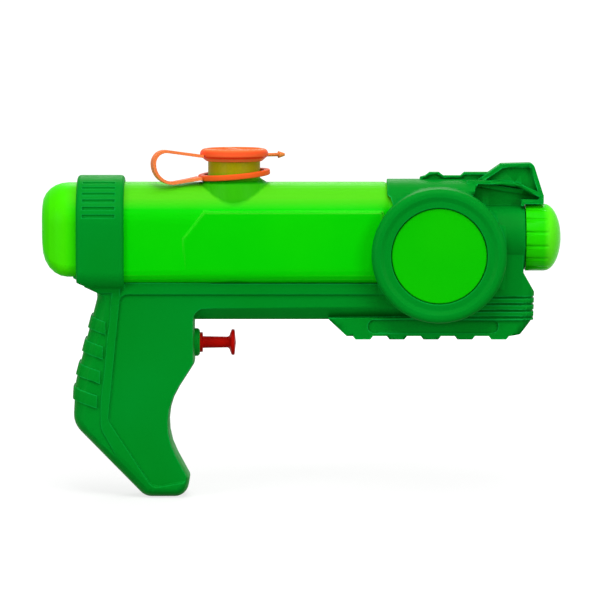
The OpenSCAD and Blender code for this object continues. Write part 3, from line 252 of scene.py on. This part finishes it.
def moulded(name, colour, pale, rough, gloss, edge=0.0003, peel=0.00003, edge_highlight=None, hollow_shade=None):
    """Moulded plastic: dye that drifts a little, an uneven gloss with fine rub marks, edges broken by
    the mould and a faint orange peel. Edges can get a painted highlight, and hollows a painted shade."""
    dye_scale = 22
    dye_band = (0.35, 0.7)
    edge_band = (0.97, 0.60)
    edge_share = 0.9
    shade_reach = 0.006
    shade_band = (0.85, 0.35)
    shade_share = 0.75
    gloss_scale = 140
    gloss_band = (0.3, 0.7)
    gloss_spread = (rough - 0.04, rough + 0.05)
    rub_scale = 60
    rub_stretch = (14, 14, 1.5)
    rub_band = (0.56, 0.72)
    rub_rough = 0.10
    peel_scale = 420
    peel_strength = 0.6

    paint = bpy.data.materials.new(name)
    paint.use_nodes = True
    tree = paint.node_tree
    shader = tree.nodes["Principled BSDF"]
    shader.inputs["Specular IOR Level"].default_value = gloss
    place = tree.nodes.new("ShaderNodeTexCoord").outputs["Object"]

    dye = tree.nodes.new("ShaderNodeMix")
    dye.data_type = "RGBA"
    dye.inputs["A"].default_value = colour
    dye.inputs["B"].default_value = pale
    tree.links.new(ranged(tree, noise(tree, place, dye_scale, 2.0), dye_band), dye.inputs["Factor"])
    tree.links.new(dye.outputs["Result"], shader.inputs["Base Color"])
    # Painted highlight: edges, where the plastic behind them is thin, are painted paler.
    if edge_highlight:
        thin = openness(tree, edge * 2, samples=6, inside=True)
        washed(paint, edge_highlight, ranged(tree, thin, edge_band, (0.0, edge_share)))
    # Painted shade: hollows, where the space round them is closed in, are painted darker.
    if hollow_shade:
        hollow = openness(tree, shade_reach, samples=8)
        washed(paint, hollow_shade, ranged(tree, hollow, shade_band, (0.0, shade_share)))

    rub = noise(tree, place, rub_scale, 4.0, rub_stretch)
    cloud = noise(tree, place, gloss_scale, 3.0)
    dulled = tree.nodes.new("ShaderNodeMath")
    dulled.operation = "MULTIPLY_ADD"
    dulled.inputs[1].default_value = rub_rough
    tree.links.new(ranged(tree, rub, rub_band), dulled.inputs[0])
    tree.links.new(ranged(tree, cloud, gloss_band, gloss_spread), dulled.inputs[2])
    tree.links.new(dulled.outputs[0], shader.inputs["Roughness"])

    soft = tree.nodes.new("ShaderNodeBevel")
    soft.samples = 6
    soft.inputs["Radius"].default_value = edge
    bump = tree.nodes.new("ShaderNodeBump")
    bump.inputs["Strength"].default_value = peel_strength
    bump.inputs["Distance"].default_value = peel
    tree.links.new(noise(tree, place, peel_scale, 2.0), bump.inputs["Height"])
    tree.links.new(soft.outputs["Normal"], bump.inputs["Normal"])
    tree.links.new(bump.outputs["Normal"], shader.inputs["Normal"])
    return paint


def dressed(node, paint, rides=True):
    """A merged, smoothly shaded copy of a solid, standing for the solid and riding on its body."""
    weld = 2e-6
    speck = 1e-6
    crease = math.radians(34)
    bm = bmesh.new()
    bm.from_mesh(solids[node].data)
    bmesh.ops.remove_doubles(bm, verts=bm.verts, dist=weld)
    bmesh.ops.dissolve_degenerate(bm, edges=bm.edges, dist=speck)
    mesh = bpy.data.meshes.new(node + "_looks")
    bm.to_mesh(mesh)
    bm.free()
    mesh.shade_smooth()
    mesh.set_sharp_from_angle(angle=crease)
    mesh.materials.append(paint)
    piece = bpy.data.objects.new(node + "_looks", mesh)
    scene.collection.objects.link(piece)
    if rides:
        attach(piece, solids[node]["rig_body"])
    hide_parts(node)
    return piece


def evened(piece):
    """Even shading on large flat faces, up to their rounded edges. Long faces are first cut across into bays,
    so that what meets one end of a face doesn't shade the other."""
    bay = 0.004
    bm = bmesh.new()
    bm.from_mesh(piece.data)
    rear = min(v.co.x for v in bm.verts)
    front = max(v.co.x for v in bm.verts)
    for cut in range(1, math.ceil((front - rear) / bay)):
        bmesh.ops.bisect_plane(bm, geom=bm.verts[:] + bm.edges[:] + bm.faces[:], dist=1e-6,
                               plane_co=(rear + cut * bay, 0, 0), plane_no=(1, 0, 0))
    bm.to_mesh(piece.data)
    bm.free()
    even = piece.modifiers.new("even_shading", "WEIGHTED_NORMAL")
    even.keep_sharp = True
    return piece


shell_paint = moulded("shell_plastic", shell_green, shell_pale, rough=0.42, gloss=0.02,
                      edge_highlight=shell_highlight_green, hollow_shade=shell_shade_green)
for side in ("right_shell", "left_shell"):
    shell = evened(dressed(side, shell_paint))

# Gland: a bush of the shells' dark-green plastic that guides the plunger where it enters the grip.
# It is moulded in one piece, and the shells clamp it.
dressed("pump_gland", shell_paint)

# Pump: a cylinder of undyed plastic inside the grip, with the inlet fitting on top, which has the valve's
# seat and the hose nipple. Both are injection-moulded, and the shells clamp the cylinder.
undyed = (0.76, 0.76, 0.72, 1.0)
undyed_pale = (0.80, 0.80, 0.77, 1.0)
undyed_paint = moulded("undyed_plastic", undyed, undyed_pale, rough=0.42, gloss=0.4)
for part in ("pump_cylinder", "inlet_fitting"):
    dressed(part, undyed_paint)

# Trigger: the red push plunger, moulded in one piece as head, rod, shaft and piston.
# It slides in the gland and the pump, and the return spring pushes it out again.
trigger_red = (0.45, 0.003, 0.001, 1.0)
trigger_pale = (0.49, 0.005, 0.002, 1.0)
red_paint = moulded("trigger_plastic", trigger_red, trigger_pale, rough=0.40, gloss=0.02)
dressed("trigger", red_paint)

# Seals: rings of soft black rubber.
# One lies in the piston's groove, the other on the nozzle tube, under the nozzle cap.
rubber_black = (0.018, 0.018, 0.018, 1.0)
rubber_grey = (0.03, 0.03, 0.03, 1.0)
rubber = moulded("black_rubber", rubber_black, rubber_grey, rough=0.6, gloss=0.3)
for part in ("piston_seal", "nozzle_seal"):
    dressed(part, rubber)

# Valve balls: bright steel, loose on their seats in the inlet fitting and the nozzle tube.
# Each lets the water pass one way only.
steel_grey = (0.55, 0.55, 0.57, 1.0)
steel_pale = (0.60, 0.60, 0.62, 1.0)
steel = moulded("bright_steel", steel_grey, steel_pale, rough=0.28, gloss=0.5, edge=0.0001, peel=0.00001)
steel.node_tree.nodes["Principled BSDF"].inputs["Metallic"].default_value = 1.0
for part in ("inlet_ball", "outlet_ball"):
    dressed(part, steel)

# Springs: coils of steel wire. The return spring stands in the pump,
# and the outlet spring keeps its ball shut.
for part, joint, fixed_end, kept_share in (
    ("return_spring", "trigger_pull", (-0.009, 0.0, 0.0239), 0.522),
    ("outlet_spring", "outlet_lift", (0.2081, 0.0, 0.0765), 0.898),
):
    spring = dressed(part, steel)
    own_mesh(spring)

# Tank: light-green plastic, blow-moulded in one piece with its filler neck, and clamped at collar and drum.
# The wall is thin and a little see-through. Painted highlight and glow make it yellower along the top,
# and painted glow at the rear end. Its edges get a painted highlight, the saddle under the neck a painted
# shade, and the neck a painted tint of the orange plug inside it.
tank_green = (0.001, 0.66, 0.0, 1.0)
tank_pale = (0.003, 0.69, 0.0, 1.0)
tank_highlight_green = (0.20, 0.90, 0.06, 1.0)
painted_top_highlight = (0.088, 0.65, 0.008, 1.0)
painted_rear_glow = (0.055, 0.80, 0.0, 1.0)
saddle_shade = (0.0, 0.40, 0.0, 1.0)
painted_plug_tint = (0.34, 0.33, 0.002, 1.0)
tank_low, tank_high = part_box("tank")
glow_top = (tank_low.z + 0.0420, tank_low.z + 0.0475)
glow_rear = (tank_low.x + 0.0204, tank_low.x + 0.0114)
plug_from = (tank_high.z - 0.0120, tank_high.z - 0.0070)
saddle_edge = (0.0164, 0.0182)
saddle_share = 0.88
ring_swivel = next(joint for joint in frame["joints"] if joint["name"] == "ring_swivel")
neck_axis = Vector((ring_swivel["pos_m"][0], 0.0, 0.0))


def place_parts(tree):
    """A point's X, Y and Z on the piece."""
    parts = tree.nodes.new("ShaderNodeSeparateXYZ")
    tree.links.new(tree.nodes.new("ShaderNodeTexCoord").outputs["Object"], parts.inputs[0])
    return parts.outputs


def distance_from_neck(tree, parts):
    """How far a point lies from the filler neck's upright axis."""
    flat = tree.nodes.new("ShaderNodeCombineXYZ")
    tree.links.new(parts["X"], flat.inputs["X"])
    tree.links.new(parts["Y"], flat.inputs["Y"])
    reach = tree.nodes.new("ShaderNodeVectorMath")
    reach.operation = "DISTANCE"
    tree.links.new(flat.outputs[0], reach.inputs[0])
    reach.inputs[1].default_value = neck_axis
    return reach.outputs["Value"]


tank_paint = moulded("tank_plastic", tank_green, tank_pale, rough=0.38, gloss=0.03, edge=0.0005,
                     edge_highlight=tank_highlight_green)
tree = tank_paint.node_tree
parts = place_parts(tree)
# Painted light and shade: top highlight and glow, rear glow, saddle shade, and the plug's tint in the neck.
washed(tank_paint, painted_top_highlight, ranged(tree, parts["Z"], glow_top))
washed(tank_paint, painted_rear_glow, ranged(tree, parts["X"], glow_rear))
from_neck = distance_from_neck(tree, parts)
washed(tank_paint, saddle_shade, ranged(tree, from_neck, saddle_edge, (saddle_share, 0.0)))
washed(tank_paint, painted_plug_tint, ranged(tree, parts["Z"], plug_from))
tank = evened(dressed("tank", tank_paint))

# Hoses: soft milky tube, cut to length and pushed over the nipples.
# One leads from the tank down to the pump, the other from the pump through the rail to the nozzle tube.
milky = (0.56, 0.62, 0.56, 1.0)
milky_pale = (0.62, 0.68, 0.62, 1.0)
hose_paint = moulded("milky_hose", milky, milky_pale, rough=0.45, gloss=0.4)
for part in ("suction_hose", "delivery_hose"):
    dressed(part, hose_paint)

# Nozzle tube and its jet tip: injection-moulded in the pump's undyed plastic. The shells clamp the tube in
# the barrel, and the tip is pressed into it, so only the jet's face can be seen.
for part in ("nozzle_body", "nozzle_tip"):
    dressed(part, undyed_paint)

# Shell screws: seven alike, of the same bright steel as the valve balls.
# They draw the two shells together, with their heads sunk in the left one.
dressed("shell_screws", steel)

# Discs: flat light-green inlays, one on each side, moulded with three pegs each.
# They are pressed into the drum.
disc_green = (0.003, 0.56, 0.0, 1.0)
disc_pale = (0.005, 0.58, 0.0, 1.0)
disc_paint = moulded("disc_plastic", disc_green, disc_pale, rough=0.34, gloss=0.03)
for side in ("right_disc", "left_disc"):
    disc = evened(dressed(side, disc_paint))

# Nozzle cap: light-green moulding with grip grooves and a thin domed front, painted with a yellower glow.
# It is pushed over the nozzle tube's seal and turns on the tube.
nose_green = (0.012, 0.68, 0.0, 1.0)
nose_pale = (0.02, 0.71, 0.0, 1.0)
painted_dome_glow = (0.115, 0.95, 0.012, 1.0)
nose_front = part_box("nozzle_cap")[1].x
dome_from = (nose_front - 0.0090, nose_front - 0.0055)
nose_paint = moulded("nose_plastic", nose_green, nose_pale, rough=0.26, gloss=0.03)
tree = nose_paint.node_tree
# Painted glow: the domed front is painted yellower.
washed(nose_paint, painted_dome_glow, ranged(tree, place_parts(tree)["X"], dome_from))
dressed("nozzle_cap", nose_paint)

# Filler cap: a soft orange moulding that plugs the neck and is pulled out by its tab.
# Light that comes through its thin tab, top rim and lower lip is painted in as paler orange, its edges get a
# painted highlight, and the side between rim and lip, where the plastic is thick, gets a redder painted
# shade.
cap_orange = (0.97, 0.060, 0.009, 1.0)
cap_pale = (0.98, 0.075, 0.013, 1.0)
painted_glow_orange = (0.95, 0.27, 0.07, 1.0)
shaded_orange = (0.97, 0.030, 0.005, 1.0)
cap_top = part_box("filler_cap")[1].z
rim_from = (cap_top - 0.0019, cap_top - 0.0003)
rim_share = 0.6
shaded_band = (cap_top - 0.0005, cap_top - 0.0019)
shaded_share = 0.8
lip_below = (cap_top - 0.0043, cap_top - 0.0051)
lip_share = 0.7
tab_from = (0.0166, 0.0178)
cap_paint = moulded("orange_plastic", cap_orange, cap_pale, rough=0.40, gloss=0.03, edge_highlight=painted_glow_orange)
tree = cap_paint.node_tree
parts = place_parts(tree)
# Painted shade below the rim, then painted glow on lip, tab and rim.
washed(cap_paint, shaded_orange, ranged(tree, parts["Z"], shaded_band, (0.0, shaded_share)))
washed(cap_paint, painted_glow_orange, ranged(tree, parts["Z"], lip_below, (0.0, lip_share)))
washed(cap_paint, painted_glow_orange, ranged(tree, distance_from_neck(tree, parts), tab_from))
washed(cap_paint, painted_glow_orange, ranged(tree, parts["Z"], rim_from, (0.0, rim_share)))
dressed("filler_cap", cap_paint)

# Strap ring: a thin ring of the cap's soft orange plastic.
# It lies loose and aslant round the neck, where it turns freely and keeps the cap from getting lost.
ring_orange = (0.90, 0.10, 0.012, 1.0)
ring_pale = (0.94, 0.13, 0.018, 1.0)
ring_paint = moulded("ring_plastic", ring_orange, ring_pale, rough=0.40, gloss=0.03)
dressed("strap_ring", ring_paint)

# Strap: the band that ties the cap to its ring, of the same plastic but so thin that light comes through it.
# It widens into the ring and into the cap.
# Painted glow: the thin band's light is painted into its paler orange.
strap_orange = (0.93, 0.20, 0.045, 1.0)
strap_pale = (0.95, 0.25, 0.07, 1.0)
strap_turn = math.radians(18)
strap_run = Vector((math.cos(strap_turn), math.sin(strap_turn), 0))
strap_side = Vector((-math.sin(strap_turn), math.cos(strap_turn), 0))
flare_from = -0.030
flare_len = 0.012
flare_by = 1.0
flare_bays = 5
strap_paint = moulded("strap_plastic", strap_orange, strap_pale, rough=0.40, gloss=0.03)
strap = dressed("cap_strap", strap_paint, rides=False)
bm = bmesh.new()
bm.from_mesh(strap.data)
for cut in range(flare_bays + 1):
    bmesh.ops.bisect_plane(bm, geom=bm.verts[:] + bm.edges[:] + bm.faces[:], dist=1e-7, plane_no=strap_run,
                           plane_co=neck_axis + strap_run * (flare_from + flare_len * cut / flare_bays))
for v in bm.verts:
    place = v.co - neck_axis
    share = min(max((place.dot(strap_run) - flare_from) / flare_len, 0.0), 1.0)
    v.co += strap_side * place.dot(strap_side) * flare_by * share * share
bm.to_mesh(strap.data)
bm.free()
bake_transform(strap)
